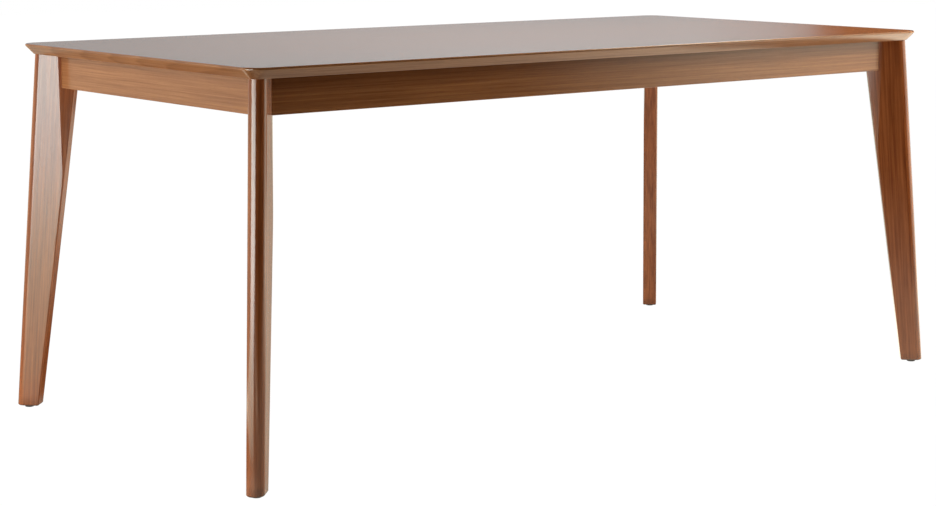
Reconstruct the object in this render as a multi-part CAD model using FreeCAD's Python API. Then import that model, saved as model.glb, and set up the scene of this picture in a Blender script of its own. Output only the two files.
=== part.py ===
import FreeCAD, Part
import math
import os
from FreeCAD import Placement, Rotation, Vector

# Dining table with a lipped and veneered top, four aprons and four plank legs set on the diagonal.
# Millimetres, z up, x along the table and y across it. The origin is on the floor under its middle.
# Front is the side at negative y, and left is the end at negative x.

# Top
TABLE_HEIGHT = 764.0
TOP_LENGTH = 1800.0
TOP_WIDTH = 882.0
TOP_THICKNESS = 21.5
EDGE_HEIGHT = 4.5  # upright edge above the 45 degree under-bevel
ARRIS_RADIUS = 3.0  # rounding of the upper edge
CORNER_RADIUS = 35.0
VENEER = 0.6
LIPPING_WIDTH = 40.0

# Aprons
APRON_INSET = 55.0  # from the edge of the top to an apron's outer face
APRON_HEIGHT = 70.0
APRON_THICKNESS = 20.0
APRON_ARRIS = 1.5  # rounding of the lower edges of aprons and rail
GROOVE_DROP = 11.0  # from the underside of the top to the clip groove
GROOVE_HEIGHT = 3.0
GROOVE_DEPTH = 9.0
WOOD_COVER = 6.0  # wood left past the tip of a screw or dowel

# Legs, measured outwards along the diagonal from where two aprons' outer faces cross
LEG_THICKNESS = 34.0
LEG_NOSE = 43.5  # how far the nose stands out at the underside of the top
LEG_SPLAY = 4.0  # degrees by which the nose leans outwards on its way down
LEG_DEPTH_TOP = 95.0
LEG_DEPTH_FOOT = 48.0
FACET_INSET = 8.9  # how far inside the crossing the facets start, at the top
FACET_ANGLE = 8.75  # degrees between a facet and the leg's broad face
FACET_LEAN = 1.3  # degrees off upright of the line where a facet starts
LEG_ARRIS = 3.0  # rounding of the leg's inner edges
FOOT_CHAMFER = 1.5

# Fasteners, dowels and glides have flat sides instead of round ones, so that the small pieces stay light
SHAFT_SIDES = 10
POINT_SHARE = 0.2  # radius left at a point, as a share of the shaft's

# Floor glides, with a nail moulded in
GLIDE_DIAMETER = 19.0
GLIDE_HEIGHT = 5.0
GLIDE_CHAMFER = 0.8
GLIDE_SIDES = 30
NAIL_DIAMETER = 2.5
NAIL_REACH = 15.0  # depth in the foot
NAIL_HEAD_DIAMETER = 6.0
NAIL_HEAD_HEIGHT = 1.0
NAIL_TIP = 2.5

# Corner blocks and the bolts that draw each leg into its corner
BLOCK_GAP = 8.0  # from the leg's inner edge, at its top, to the block
BLOCK_THICKNESS = 30.0
BLOCK_MARGIN = 8.0  # apron left above and below a block
BOLT_DIAMETER = 8.0
BOLT_CLEARANCE = 0.5  # round a bolt, in its block
BOLT_EDGE = 13.0  # from a block's upper and lower edge to a bolt
BOLT_EMBED = 48.0  # past the leg's inner edge at its top
BOLT_TIP = 6.0
BOLT_PROUD = 5.0  # thread past the nut
WASHER_DIAMETER = 20.0
WASHER_THICKNESS = 1.6
NUT_WIDTH = 13.0  # across flats
NUT_HEIGHT = 6.5

# Block screws, countersunk
BLOCK_SCREW_DIAMETER = 4.5
BLOCK_SCREW_HEAD = 9.0
BLOCK_SCREW_SEAT = 14.0  # block left under a screw's head
SCREW_TIP = 5.0

# Cross rail and its dowels
RAIL_THICKNESS = 22.0
RAIL_RISE = 10.0  # from the aprons' lower edge up to the rail's
DOWEL_DIAMETER = 8.0
DOWEL_EDGE = 9.0  # from the groove, or from the rail's lower edge, to a dowel
DOWEL_IN_RAIL = 22.0

# Clips that hold the top down, and their pan-head screws
LONG_CLIP_COUNT = 4  # on each long apron
SHORT_CLIP_COUNT = 1  # on each short apron
CLIP_WIDTH = 20.0
CLIP_STRAP = 1.5
CLIP_BEND = 1.0  # flat across the inside of a bend, measured along each side
CLIP_TONGUE = 7.0  # depth in the groove
CLIP_STANDOFF = 4.0  # from the apron to the clip's upright web
CLIP_FLANGE = 22.0
CLIP_SCREW_DIAMETER = 4.0
CLIP_SCREW_HEAD = 8.0
CLIP_SCREW_HEAD_HEIGHT = 2.6
CLIP_SCREW_TIP = 3.0

# Places that follow from the sizes above
UNDERSIDE = TABLE_HEIGHT - TOP_THICKNESS
BEVEL = TOP_THICKNESS - EDGE_HEIGHT
APRON_X = TOP_LENGTH / 2 - APRON_INSET  # outer face of a short apron
APRON_Y = TOP_WIDTH / 2 - APRON_INSET  # outer face of a long apron
APRON_BOTTOM = UNDERSIDE - APRON_HEIGHT
NOSE_RADIUS = LEG_THICKNESS / 2
FOOT_NOSE = LEG_NOSE + (UNDERSIDE - GLIDE_HEIGHT) * math.tan(math.radians(LEG_SPLAY))
INNER_TOP = LEG_NOSE - LEG_DEPTH_TOP  # inner edge of a leg at its top
INNER_FOOT = FOOT_NOSE - LEG_DEPTH_FOOT
FOOT_CENTRE = (FOOT_NOSE + INNER_FOOT) / 2
BLOCK_OUTER = INNER_TOP - BLOCK_GAP
BLOCK_INNER = BLOCK_OUTER - BLOCK_THICKNESS
BLOCK_BOTTOM = APRON_BOTTOM + BLOCK_MARGIN
BLOCK_HEIGHT = APRON_HEIGHT - 2 * BLOCK_MARGIN
BOLT_LEVELS = (BLOCK_BOTTOM + BOLT_EDGE, BLOCK_BOTTOM + BLOCK_HEIGHT - BOLT_EDGE)
RAIL_BOTTOM = APRON_BOTTOM + RAIL_RISE
DOWEL_LEVELS = (RAIL_BOTTOM + DOWEL_EDGE, UNDERSIDE - GROOVE_DROP - GROOVE_HEIGHT - DOWEL_EDGE)
REACH = TOP_LENGTH + TOP_WIDTH + TABLE_HEIGHT  # longer than anything on the table

UP = Vector(0, 0, 1)
CORNERS = {"front_left": (-1, -1), "front_right": (1, -1), "back_left": (-1, 1), "back_right": (1, 1)}
SIDES = {"front": 0, "right": 90, "back": 180, "left": 270}  # turn of each apron, in degrees


# Helpers
def half_space(point, normal):
    """A block that fills everything past a plane, on the side that the normal points to."""
    block = Part.makeBox(2 * REACH, 2 * REACH, REACH, Vector(-REACH, -REACH, 0))
    block.Placement = Placement(point, Rotation(UP, normal))
    return block


def prism(points, height):
    """A polygon raised along z."""
    outline = Part.makePolygon([*points, points[0]])
    return Part.Face(outline).extrude(Vector(0, 0, height))


def polygon(radius, z, sides):
    """Corners of a level regular polygon round z."""
    turns = [2 * math.pi * k / sides for k in range(sides)]
    return [Vector(radius * math.cos(a), radius * math.sin(a), z) for a in turns]


def shaft(stations, sides=SHAFT_SIDES):
    """A flat-sided shaft along z through (radius, z) stations, from its lower end to its upper one."""
    rings = [polygon(radius, z, sides) for radius, z in stations]
    outlines = [rings[0], rings[-1]]
    for low, high in zip(rings, rings[1:]):
        for k in range(sides):
            outlines.append([low[k - 1], low[k], high[k], high[k - 1]])
    faces = [Part.Face(Part.makePolygon([*corners, corners[0]])) for corners in outlines]
    return Part.Solid(Part.Shell(faces).removeSplitter())


def pointing(shape, point, direction):
    """A copy of a shape that was drawn along z, moved to a point and turned along a direction."""
    copy = shape.copy()
    copy.Placement = Placement(point, Rotation(UP, direction))
    return copy


def placed(shape, placement):
    """A copy of a shape, carried from a corner's or a side's own frame to the table."""
    copy = shape.copy()
    copy.Placement = placement.multiply(copy.Placement)
    return copy


def corner_frame(name):
    """Frame of a corner: origin where the aprons' outer faces cross, x outwards along the diagonal."""
    side_x, side_y = CORNERS[name]
    origin = Vector(side_x * APRON_X, side_y * APRON_Y, 0)
    return Placement(origin, Rotation(UP, math.degrees(math.atan2(side_y, side_x))))


def side_frame(name):
    """Frame of a side: x along the apron, outer face at y = 0, inner face at positive y."""
    turn = Rotation(UP, SIDES[name])
    away = APRON_Y if name in ("front", "back") else APRON_X
    return Placement(turn.multVec(Vector(0, -away, 0)), turn)


def half_length(name):
    """Half the distance between the two corner origins that an apron runs between."""
    return APRON_X if name in ("front", "back") else APRON_Y


def at_corners(shapes):
    """Copies of a corner's shapes at all four corners, as one group of separate solids."""
    return Part.Compound([placed(s, corner_frame(c)) for c in CORNERS for s in shapes])


# Top
def top_blank():
    """The whole top as one shape: rounded corners, rounded upper arris, 45 degree under-bevel."""
    low_corner = Vector(-TOP_LENGTH / 2, -TOP_WIDTH / 2, UNDERSIDE)
    blank = Part.makeBox(TOP_LENGTH, TOP_WIDTH, TOP_THICKNESS, low_corner)
    uprights = [e for e in blank.Edges if e.BoundBox.ZLength > TOP_THICKNESS / 2]
    blank = blank.makeFillet(CORNER_RADIUS, uprights)
    lower = [e for e in blank.Edges if e.BoundBox.ZMax < UNDERSIDE + EDGE_HEIGHT / 2]
    blank = blank.makeChamfer(BEVEL, lower)
    upper = [e for e in blank.Edges if e.BoundBox.ZMin > TABLE_HEIGHT - EDGE_HEIGHT / 2]
    return blank.makeFillet(min(ARRIS_RADIUS, 0.9 * EDGE_HEIGHT), upper)


def core_outline():
    """The core board's four lower corners, on the backing veneer."""
    x = TOP_LENGTH / 2 - LIPPING_WIDTH
    y = TOP_WIDTH / 2 - LIPPING_WIDTH
    z = UNDERSIDE + VENEER
    return [Vector(-x, -y, z), Vector(x, -y, z), Vector(x, y, z), Vector(-x, y, z)]


def lipping(middle, start, end):
    """One edge of the top: the middle layer outside the core, between mitres at two core corners."""
    outline = [start, end]
    for corner in (end, start):
        out_x = math.copysign(LIPPING_WIDTH, corner.x)
        out_y = math.copysign(LIPPING_WIDTH, corner.y)
        outline.append(corner + Vector(out_x, out_y, 0))
    return middle.common(prism(outline, TOP_THICKNESS)).Solids[0]


def top_pieces(clip_screws):
    """Face veneer, backing veneer, core and four lippings, with the clip screws' holes."""
    blank = top_blank()
    face_cut = half_space(Vector(0, 0, TABLE_HEIGHT - VENEER), UP)
    back_cut = half_space(Vector(0, 0, UNDERSIDE + VENEER), -UP)
    middle = blank.cut(face_cut).cut(back_cut)
    outline = core_outline()
    core = prism(outline, TOP_THICKNESS - 2 * VENEER)
    pieces = {
        "top_face_veneer": blank.common(face_cut).Solids[0],
        "top_backing_veneer": blank.common(back_cut).cut(clip_screws).Solids[0],
        "top_core": core.cut(clip_screws).Solids[0],
    }
    for index, name in enumerate(["front", "right", "back", "left"]):
        pieces["lipping_" + name] = lipping(middle, outline[index], outline[(index + 1) % 4])
    return pieces


# Legs, in a corner's frame
def facet(side):
    """A point on a facet's plane and the plane's normal, out of the leg. Side is 1 or -1, the sign of y."""
    angle = math.radians(FACET_ANGLE)
    lean = math.tan(math.radians(FACET_LEAN))
    point = Vector(-FACET_INSET, side * NOSE_RADIUS, UNDERSIDE)
    return point, Vector(-math.sin(angle), side * math.cos(angle), lean * math.sin(angle))


def plank():
    """A plank with a half-round nose at x = 0, square to its own length, which runs along z through 0."""
    r = NOSE_RADIUS
    back = -2 * LEG_DEPTH_TOP
    length = 2 * TABLE_HEIGHT
    nose = Part.Arc(Vector(-r, -r, 0), Vector(0, 0, 0), Vector(-r, r, 0)).toShape()
    sides = Part.makePolygon([Vector(-r, r, 0), Vector(back, r, 0), Vector(back, -r, 0), Vector(-r, -r, 0)])
    shape = Part.Face(Part.Wire([nose, *sides.Edges])).extrude(Vector(0, 0, length))
    shape.translate(Vector(0, 0, -0.75 * length))
    return shape


def leg():
    """Leaned plank, level at both ends, tapered on its inner edge and faceted where the aprons meet it."""
    shape = plank()
    shape.rotate(Vector(), Vector(0, 1, 0), -LEG_SPLAY)
    shape.translate(Vector(LEG_NOSE, 0, UNDERSIDE))
    shape = shape.cut(half_space(Vector(0, 0, UNDERSIDE), UP))
    shape = shape.cut(half_space(Vector(0, 0, GLIDE_HEIGHT), -UP))
    foot = Vector(INNER_FOOT, 0, GLIDE_HEIGHT)
    rise = Vector(INNER_TOP, 0, UNDERSIDE) - foot
    shape = shape.cut(half_space(foot, rise.cross(Vector(0, 1, 0))))
    for side in (1, -1):
        shape = shape.cut(half_space(*facet(side)))
    return soften(shape.Solids[0], rise)


def soften(shape, rise):
    """Rounds the arrises of the leg's inner edge and chamfers the foot."""
    inner_normal = rise.cross(Vector(0, 1, 0)).normalize()
    inner = max(shape.Faces, key=lambda f: f.normalAt(0, 0).dot(inner_normal))
    shape = shape.makeFillet(LEG_ARRIS, [e for e in inner.Edges if e.BoundBox.ZLength > LEG_ARRIS])
    foot_level = GLIDE_HEIGHT + FOOT_CHAMFER / 2
    return shape.makeChamfer(FOOT_CHAMFER, [e for e in shape.Edges if e.BoundBox.ZMax < foot_level])


def glide():
    """Floor glide, drawn with its centre line on z."""
    r = GLIDE_DIAMETER / 2
    return shaft([(r - GLIDE_CHAMFER, 0), (r, GLIDE_CHAMFER), (r, GLIDE_HEIGHT)], GLIDE_SIDES)


def glide_nail():
    """Nail with its head inside the glide and its point in the foot."""
    head = NAIL_HEAD_DIAMETER / 2
    shank = NAIL_DIAMETER / 2
    low = (GLIDE_HEIGHT - NAIL_HEAD_HEIGHT) / 2
    neck = low + NAIL_HEAD_HEIGHT
    tip = GLIDE_HEIGHT + NAIL_REACH
    point = POINT_SHARE * shank
    return shaft([(head, low), (head, neck), (shank, neck), (shank, tip - NAIL_TIP), (point, tip)])


# Corner blocks and bolts, in a corner's frame
def corner_block():
    """Block across the corner, with 45 degree ends that lie on the aprons' inner faces."""
    crossing = -math.sqrt(2) * APRON_THICKNESS
    outer = crossing - BLOCK_OUTER
    inner = crossing - BLOCK_INNER
    z = BLOCK_BOTTOM
    outline = [Vector(BLOCK_OUTER, -outer, z), Vector(BLOCK_OUTER, outer, z)]
    outline += [Vector(BLOCK_INNER, inner, z), Vector(BLOCK_INNER, -inner, z)]
    return prism(outline, BLOCK_HEIGHT)


def hanger_bolts():
    """Two bolts along the diagonal, one above the other, pointed in the leg and threaded past the nut."""
    r = BOLT_DIAMETER / 2
    end = BLOCK_INNER - WASHER_THICKNESS - NUT_HEIGHT - BOLT_PROUD
    length = INNER_TOP + BOLT_EMBED - end
    chamfer = r / 4
    bolt = shaft([(r - chamfer, 0), (r, chamfer), (r, length - BOLT_TIP), (POINT_SHARE * r, length)])
    return [pointing(bolt, Vector(end, 0, z), Vector(1, 0, 0)) for z in BOLT_LEVELS]


def bolt_holes():
    """Clearance holes for the bolts, through a block."""
    radius = BOLT_DIAMETER / 2 + BOLT_CLEARANCE
    hole = shaft([(radius, 0), (radius, BLOCK_THICKNESS)])
    return [pointing(hole, Vector(BLOCK_INNER, 0, z), Vector(1, 0, 0)) for z in BOLT_LEVELS]


def ring(radius, height, sides):
    """A washer or nut: a flat-sided disc with the bolt's own hole."""
    disc = shaft([(radius, 0), (radius, height)], sides)
    return disc.cut(shaft([(BOLT_DIAMETER / 2, 0), (BOLT_DIAMETER / 2, height)])).Solids[0]


def washers():
    """One washer on each bolt, against the block's inner face."""
    disc = ring(WASHER_DIAMETER / 2, WASHER_THICKNESS, SHAFT_SIDES)
    return [pointing(disc, Vector(BLOCK_INNER, 0, z), Vector(-1, 0, 0)) for z in BOLT_LEVELS]


def nuts():
    """One hexagon nut on each bolt, against its washer."""
    nut = ring(NUT_WIDTH / 2 / math.cos(math.pi / 6), NUT_HEIGHT, 6)
    seat = BLOCK_INNER - WASHER_THICKNESS
    return [pointing(nut, Vector(seat, 0, z), Vector(-1, 0, 0)) for z in BOLT_LEVELS]


def block_screws():
    """One countersunk screw at each end of a block, square to the apron, and the pocket over its head."""
    head = BLOCK_SCREW_HEAD / 2
    shank = BLOCK_SCREW_DIAMETER / 2
    length = BLOCK_SCREW_SEAT + APRON_THICKNESS - WOOD_COVER
    cone = head - shank
    screw = shaft([(head, 0), (shank, cone), (shank, length - SCREW_TIP), (POINT_SHARE * shank, length)])
    pocket = shaft([(head, 0), (head, BLOCK_THICKNESS)])
    level = BLOCK_BOTTOM + BLOCK_HEIGHT / 2
    seat = APRON_THICKNESS + BLOCK_SCREW_SEAT
    along = -(BLOCK_OUTER + BLOCK_INNER) / math.sqrt(2) - APRON_THICKNESS
    screws = []
    pockets = []
    for side in (1, -1):
        outwards = Rotation(UP, side * 45).multVec(Vector(1, 0, 0))
        from_corner = Rotation(UP, side * 135).multVec(Vector(1, 0, 0))
        point = from_corner * along - outwards * seat + UP * level
        screws.append(pointing(screw, point, outwards))
        pockets.append(pointing(pocket, point, outwards * -1))
    return screws, pockets


# Aprons, rail and clips
def board(length, thickness, bottom):
    """A board on edge under the top, centred along x, with rounded lower edges. Outer face at y = 0."""
    shape = Part.makeBox(length, thickness, UNDERSIDE - bottom, Vector(-length / 2, 0, bottom))
    lengthwise = [e for e in shape.Edges if e.BoundBox.XLength > length / 2]
    return shape.makeFillet(APRON_ARRIS, [e for e in lengthwise if e.BoundBox.ZMax < bottom + APRON_ARRIS])


def apron(name, cutters):
    """Apron between two legs' facets, with the clip groove in its inner face and holes for its fasteners."""
    half = half_length(name)
    shape = board(2 * half, APRON_THICKNESS, APRON_BOTTOM)
    groove_low = Vector(-half, APRON_THICKNESS - GROOVE_DEPTH, UNDERSIDE - GROOVE_DROP - GROOVE_HEIGHT)
    shape = shape.cut(Part.makeBox(2 * half, GROOVE_DEPTH, GROOVE_HEIGHT, groove_low))
    for end, turn in ((1, -45), (-1, -135)):
        point, normal = facet(-end)
        frame = Placement(Vector(end * half, 0, 0), Rotation(UP, turn))
        shape = shape.cut(placed(half_space(point, normal * -1), frame))
    return placed(shape, side_frame(name)).cut(cutters).Solids[0]


def cross_rail():
    """Rail across the table between the long aprons, against the underside of the top."""
    span = 2 * (APRON_Y - APRON_THICKNESS)
    shape = board(span, RAIL_THICKNESS, RAIL_BOTTOM)
    return placed(shape, Placement(Vector(RAIL_THICKNESS / 2, 0, 0), Rotation(UP, 90)))


def rail_dowels():
    """Two dowels at each end of the rail, partly in the rail and partly in the apron."""
    depth = APRON_THICKNESS - WOOD_COVER
    radius = DOWEL_DIAMETER / 2
    dowel = shaft([(radius, 0), (radius, depth + DOWEL_IN_RAIL)])
    start = APRON_Y - APRON_THICKNESS - DOWEL_IN_RAIL
    places = [(side, z) for side in (1, -1) for z in DOWEL_LEVELS]
    return [pointing(dowel, Vector(0, side * start, z), Vector(0, side, 0)) for side, z in places]


def clip():
    """Bent strap: a tongue in the groove, an upright web and a flange under the top. Drawn at x = 0."""
    tongue = UNDERSIDE - GROOVE_DROP
    web = APRON_THICKNESS + CLIP_STANDOFF
    tip = APRON_THICKNESS - CLIP_TONGUE
    end = web + CLIP_FLANGE
    s = CLIP_STRAP
    path = [(tip, tongue), (web, tongue), (web, UNDERSIDE), (end, UNDERSIDE)]
    path += [(end, UNDERSIDE - s), (web + s, UNDERSIDE - s), (web + s, tongue - s), (tip, tongue - s)]
    outline = Part.makePolygon([Vector(-CLIP_WIDTH / 2, y, z) for y, z in [*path, path[0]]])
    strap = Part.Face(outline).extrude(Vector(CLIP_WIDTH, 0, 0))
    for corners, flat in (((1, 5), CLIP_BEND), ((2, 6), CLIP_BEND + (2 - math.sqrt(2)) * s)):
        bends = [e for e in strap.Edges for k in corners if runs_at(e, *path[k])]
        strap = strap.makeChamfer(flat, bends)
    return strap.cut(clip_screw()).Solids[0]


def runs_at(edge, y, z):
    """True for an edge that runs along x through that y and z."""
    near = edge.CenterOfMass.isEqual(Vector(0, y, z), CLIP_BEND / 10)
    return near and edge.BoundBox.XLength > CLIP_WIDTH / 2


def clip_screw():
    """Pan-head screw up through the middle of a clip's flange into the top."""
    head = CLIP_SCREW_HEAD / 2
    shank = CLIP_SCREW_DIAMETER / 2
    low = -CLIP_SCREW_HEAD_HEIGHT
    length = CLIP_STRAP + TOP_THICKNESS - WOOD_COVER
    point = POINT_SHARE * shank
    screw = shaft([(head, low), (head, 0), (shank, 0), (shank, length - CLIP_SCREW_TIP), (point, length)])
    middle = APRON_THICKNESS + CLIP_STANDOFF + CLIP_STRAP + CLIP_FLANGE / 2
    return pointing(screw, Vector(0, middle, UNDERSIDE - CLIP_STRAP), UP)


def along_aprons(shape, clear_end):
    """Copies of a shape spaced evenly along the aprons, clear of the corner blocks."""
    copies = []
    for name in SIDES:
        count = LONG_CLIP_COUNT if name in ("front", "back") else SHORT_CLIP_COUNT
        span = 2 * (half_length(name) - clear_end)
        for k in range(count):
            step = Placement(Vector(span * ((k + 0.5) / count - 0.5), 0, 0), Rotation())
            copies.append(placed(shape, side_frame(name).multiply(step)))
    return Part.Compound(copies)


# The whole table
def table():
    """Every piece of the table by name."""
    block_end = -math.sqrt(2) * BLOCK_INNER - APRON_THICKNESS
    clip_screws = along_aprons(clip_screw(), block_end)
    screws, pockets = block_screws()
    bolts = hanger_bolts()
    nail = pointing(glide_nail(), Vector(FOOT_CENTRE, 0, 0), UP)
    dowels = Part.Compound(rail_dowels())
    apron_cutters = [at_corners(screws), dowels]

    pieces = top_pieces(clip_screws)
    for name in SIDES:
        pieces["apron_" + name] = apron(name, apron_cutters)
    bored_leg = leg().cut([*bolts, nail]).Solids[0]
    bored_block = corner_block().cut([*bolt_holes(), *screws, *pockets]).Solids[0]
    bored_glide = pointing(glide(), Vector(FOOT_CENTRE, 0, 0), UP).cut(nail).Solids[0]
    for name in CORNERS:
        frame = corner_frame(name)
        pieces["leg_" + name] = placed(bored_leg, frame)
        pieces["corner_block_" + name] = placed(bored_block, frame)
        pieces["glide_" + name] = placed(bored_glide, frame)
    pieces["cross_rail"] = cross_rail().cut(dowels).Solids[0]
    pieces["cross_rail_dowels"] = dowels
    pieces["glide_nails"] = at_corners([nail])
    pieces["hanger_bolts"] = at_corners(bolts)
    pieces["hanger_washers"] = at_corners(washers())
    pieces["hanger_nuts"] = at_corners(nuts())
    pieces["corner_block_screws"] = at_corners(screws)
    pieces["top_clips"] = along_aprons(clip(), block_end)
    pieces["top_clip_screws"] = clip_screws
    return pieces


os.makedirs("parts", exist_ok=True)
for node, shape in table().items():
    shape.exportStep("parts/" + node + ".step")
    print(f"{node}: {len(shape.Solids)} solid(s), {shape.Volume / 1000:.1f} cm3")
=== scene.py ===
# %% [markdown]
# # A dining table with plank legs on the diagonal
# The packed model already has the table's construction in the right place, so this lesson dresses it. The
# curved pieces that light runs along (legs, lippings, top face) and the small metal parts are made again
# as smooth surfaces. The flat boards keep their CAD solids and only get a finish.

# %% Load the packed table
import math

import bmesh
import bpy
import numpy as np
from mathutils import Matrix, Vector


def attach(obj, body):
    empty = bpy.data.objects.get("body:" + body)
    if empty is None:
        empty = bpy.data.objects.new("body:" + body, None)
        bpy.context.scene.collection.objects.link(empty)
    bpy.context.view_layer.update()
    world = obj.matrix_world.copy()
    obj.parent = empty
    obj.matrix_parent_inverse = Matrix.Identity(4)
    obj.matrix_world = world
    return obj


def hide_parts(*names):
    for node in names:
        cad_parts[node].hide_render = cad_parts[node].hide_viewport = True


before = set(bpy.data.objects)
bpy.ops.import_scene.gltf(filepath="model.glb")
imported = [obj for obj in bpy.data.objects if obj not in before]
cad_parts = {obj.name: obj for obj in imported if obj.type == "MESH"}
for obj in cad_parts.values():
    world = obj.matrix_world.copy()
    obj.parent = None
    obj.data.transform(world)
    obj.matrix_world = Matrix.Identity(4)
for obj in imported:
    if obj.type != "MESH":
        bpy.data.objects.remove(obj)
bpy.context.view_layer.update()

# %% [markdown]
# ## Camera
# The photograph was taken from the front left, a little above the top, with a long lens. Its horizon lies
# high in the picture, which is a lens shifted downwards, so that upright edges stay upright. The place,
# the focal length and the shift were fitted to the edges of the table, in pixels of the photograph.

# %% Camera at the photograph's viewpoint
PHOTO_WIDTH = 936
PHOTO_HEIGHT = 506
FOCAL_PIXELS = 2089.8
OPTICAL_AXIS = (474.0, 106.6)
EYE = Vector((-2.8678, -3.5069, 1.0431))
YAW = 0.89375
PITCH = -0.09512

lens = bpy.data.cameras.new("photo_camera")
lens.lens = FOCAL_PIXELS / PHOTO_WIDTH * lens.sensor_width
lens.shift_x = (PHOTO_WIDTH / 2 - OPTICAL_AXIS[0]) / PHOTO_WIDTH
lens.shift_y = (OPTICAL_AXIS[1] - PHOTO_HEIGHT / 2) / PHOTO_WIDTH
camera = bpy.data.objects.new("photo_camera", lens)
bpy.context.scene.collection.objects.link(camera)
gaze = Vector((math.cos(PITCH) * math.cos(YAW), math.cos(PITCH) * math.sin(YAW), math.sin(PITCH)))
camera.location = EYE
camera.rotation_euler = gaze.to_track_quat("-Z", "Y").to_euler()
bpy.context.scene.camera = camera
print("camera", round(lens.lens, 2), "mm, shift", round(lens.shift_x, 4), round(lens.shift_y, 4))

# %% [markdown]
# ## Writing a finish
# A finish is a small graph of shader nodes. Wiring nodes by hand hides the idea, so one class stands for
# a socket: arithmetic on it adds Math nodes, and `make` adds any other node.

# %% Sockets as numbers
class Tone:
    """One output socket of a finish. Sums and products with it add Math nodes."""

    def __init__(self, tree, socket=None):
        self.tree = tree
        self.socket = socket

    def make(self, kind, settings=None, sockets=None, out=0):
        """Adds a node, sets it up, feeds its sockets with values or links, and returns one output."""
        node = self.tree.nodes.new(kind)
        for key, value in (settings or {}).items():
            setattr(node, key, value)
        for key, value in (sockets or {}).items():
            if isinstance(value, Tone):
                self.tree.links.new(value.socket, node.inputs[key])
            else:
                node.inputs[key].default_value = value
        return Tone(self.tree, node.outputs[out] if len(node.outputs) else None)

    def math(self, operation, first, second=0.0):
        return self.make("ShaderNodeMath", {"operation": operation}, {0: first, 1: second})

    def __add__(self, other):
        return self.math("ADD", self, other)

    def __radd__(self, other):
        return self.math("ADD", other, self)

    def __sub__(self, other):
        return self.math("SUBTRACT", self, other)

    def __rsub__(self, other):
        return self.math("SUBTRACT", other, self)

    def __mul__(self, other):
        return self.math("MULTIPLY", self, other)

    def __rmul__(self, other):
        return self.math("MULTIPLY", other, self)

    def __pow__(self, other):
        return self.math("POWER", self, other)

    def between(self, low, high):
        """0 below low, 1 above high, and an even rise between them."""
        return self.make("ShaderNodeMapRange", {}, {0: self, 1: low, 2: high})

    def blend(self, first, second):
        """A colour that goes from the first to the second as this tone goes from 0 to 1."""
        return self.make("ShaderNodeMix", {"data_type": "RGBA"}, {0: self, 6: first, 7: second}, out=2)


def new_finish(name):
    """An empty material, and a Tone to start its nodes from."""
    material = bpy.data.materials.new(name)
    material.use_nodes = True
    material.node_tree.nodes.clear()
    return material, Tone(material.node_tree)


def close_finish(start, sockets):
    """Adds the surface shader with these sockets and the output."""
    surface = start.make("ShaderNodeBsdfPrincipled", {}, sockets)
    start.make("ShaderNodeOutputMaterial", {}, {"Surface": surface})


def noise(at, cells, detail=2.0):
    """Noise with that many cells to the metre in each direction, about 0.5."""
    scaled = at.make("ShaderNodeVectorMath", {"operation": "MULTIPLY"}, {0: at, 1: cells})
    return at.make("ShaderNodeTexNoise", {}, {"Vector": scaled, "Scale": 1.0, "Detail": detail})


def bump(height, depth):
    """A normal tilted by a height between 0 and 1, over that depth in metres."""
    sockets = {"Height": height, "Strength": 1.0, "Distance": depth}
    return height.make("ShaderNodeBump", {}, sockets, out="Normal")


print("finishes are written with", [name for name in vars(Tone) if not name.startswith("__")])

# %% [markdown]
# ## Stained wood
# The table is a stained, lacquered hardwood. Seen close, its figure has three scales: growth rings that a
# saw cut turns into bands, long fibre streaks, and pores, which are fine dark dashes. All three run along
# the board, so each piece gives its own coordinates: along, across and through the board. The flat CAD
# boards take them from Object coordinates, turned where a board runs across the table, and the leaning
# legs carry them as an attribute. Two marks of painted shade follow the height: the feet darken in the last
# millimetres above the floor, and the aprons darken in the corner below the top, which adds painted shade
# to the real shade that the top casts there.

# %% Wood finish
def board_coordinates(start, turn):
    """Object coordinates with x along the board: turn is the board's direction in degrees."""
    place = start.make("ShaderNodeTexCoord", {}, {}, out="Object")
    return start.make("ShaderNodeMapping", {}, {"Vector": place, "Rotation": (0, 0, -math.radians(turn))})


def carried_coordinates(start):
    """The coordinates that a piece carries in its own attribute."""
    return start.make("ShaderNodeAttribute", {"attribute_name": "grain"}, {}, out="Vector")


def painted_shade_height(start):
    """The height of a point above the floor, in metres."""
    place = start.make("ShaderNodeTexCoord", {}, {}, out="Object")
    return place.make("ShaderNodeSeparateXYZ", {}, {0: place}, out="Z")


TOP_UNDERSIDE = 0.7425
FOOT_SHADE_HEIGHTS = (0.0062, 0.0085)


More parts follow.
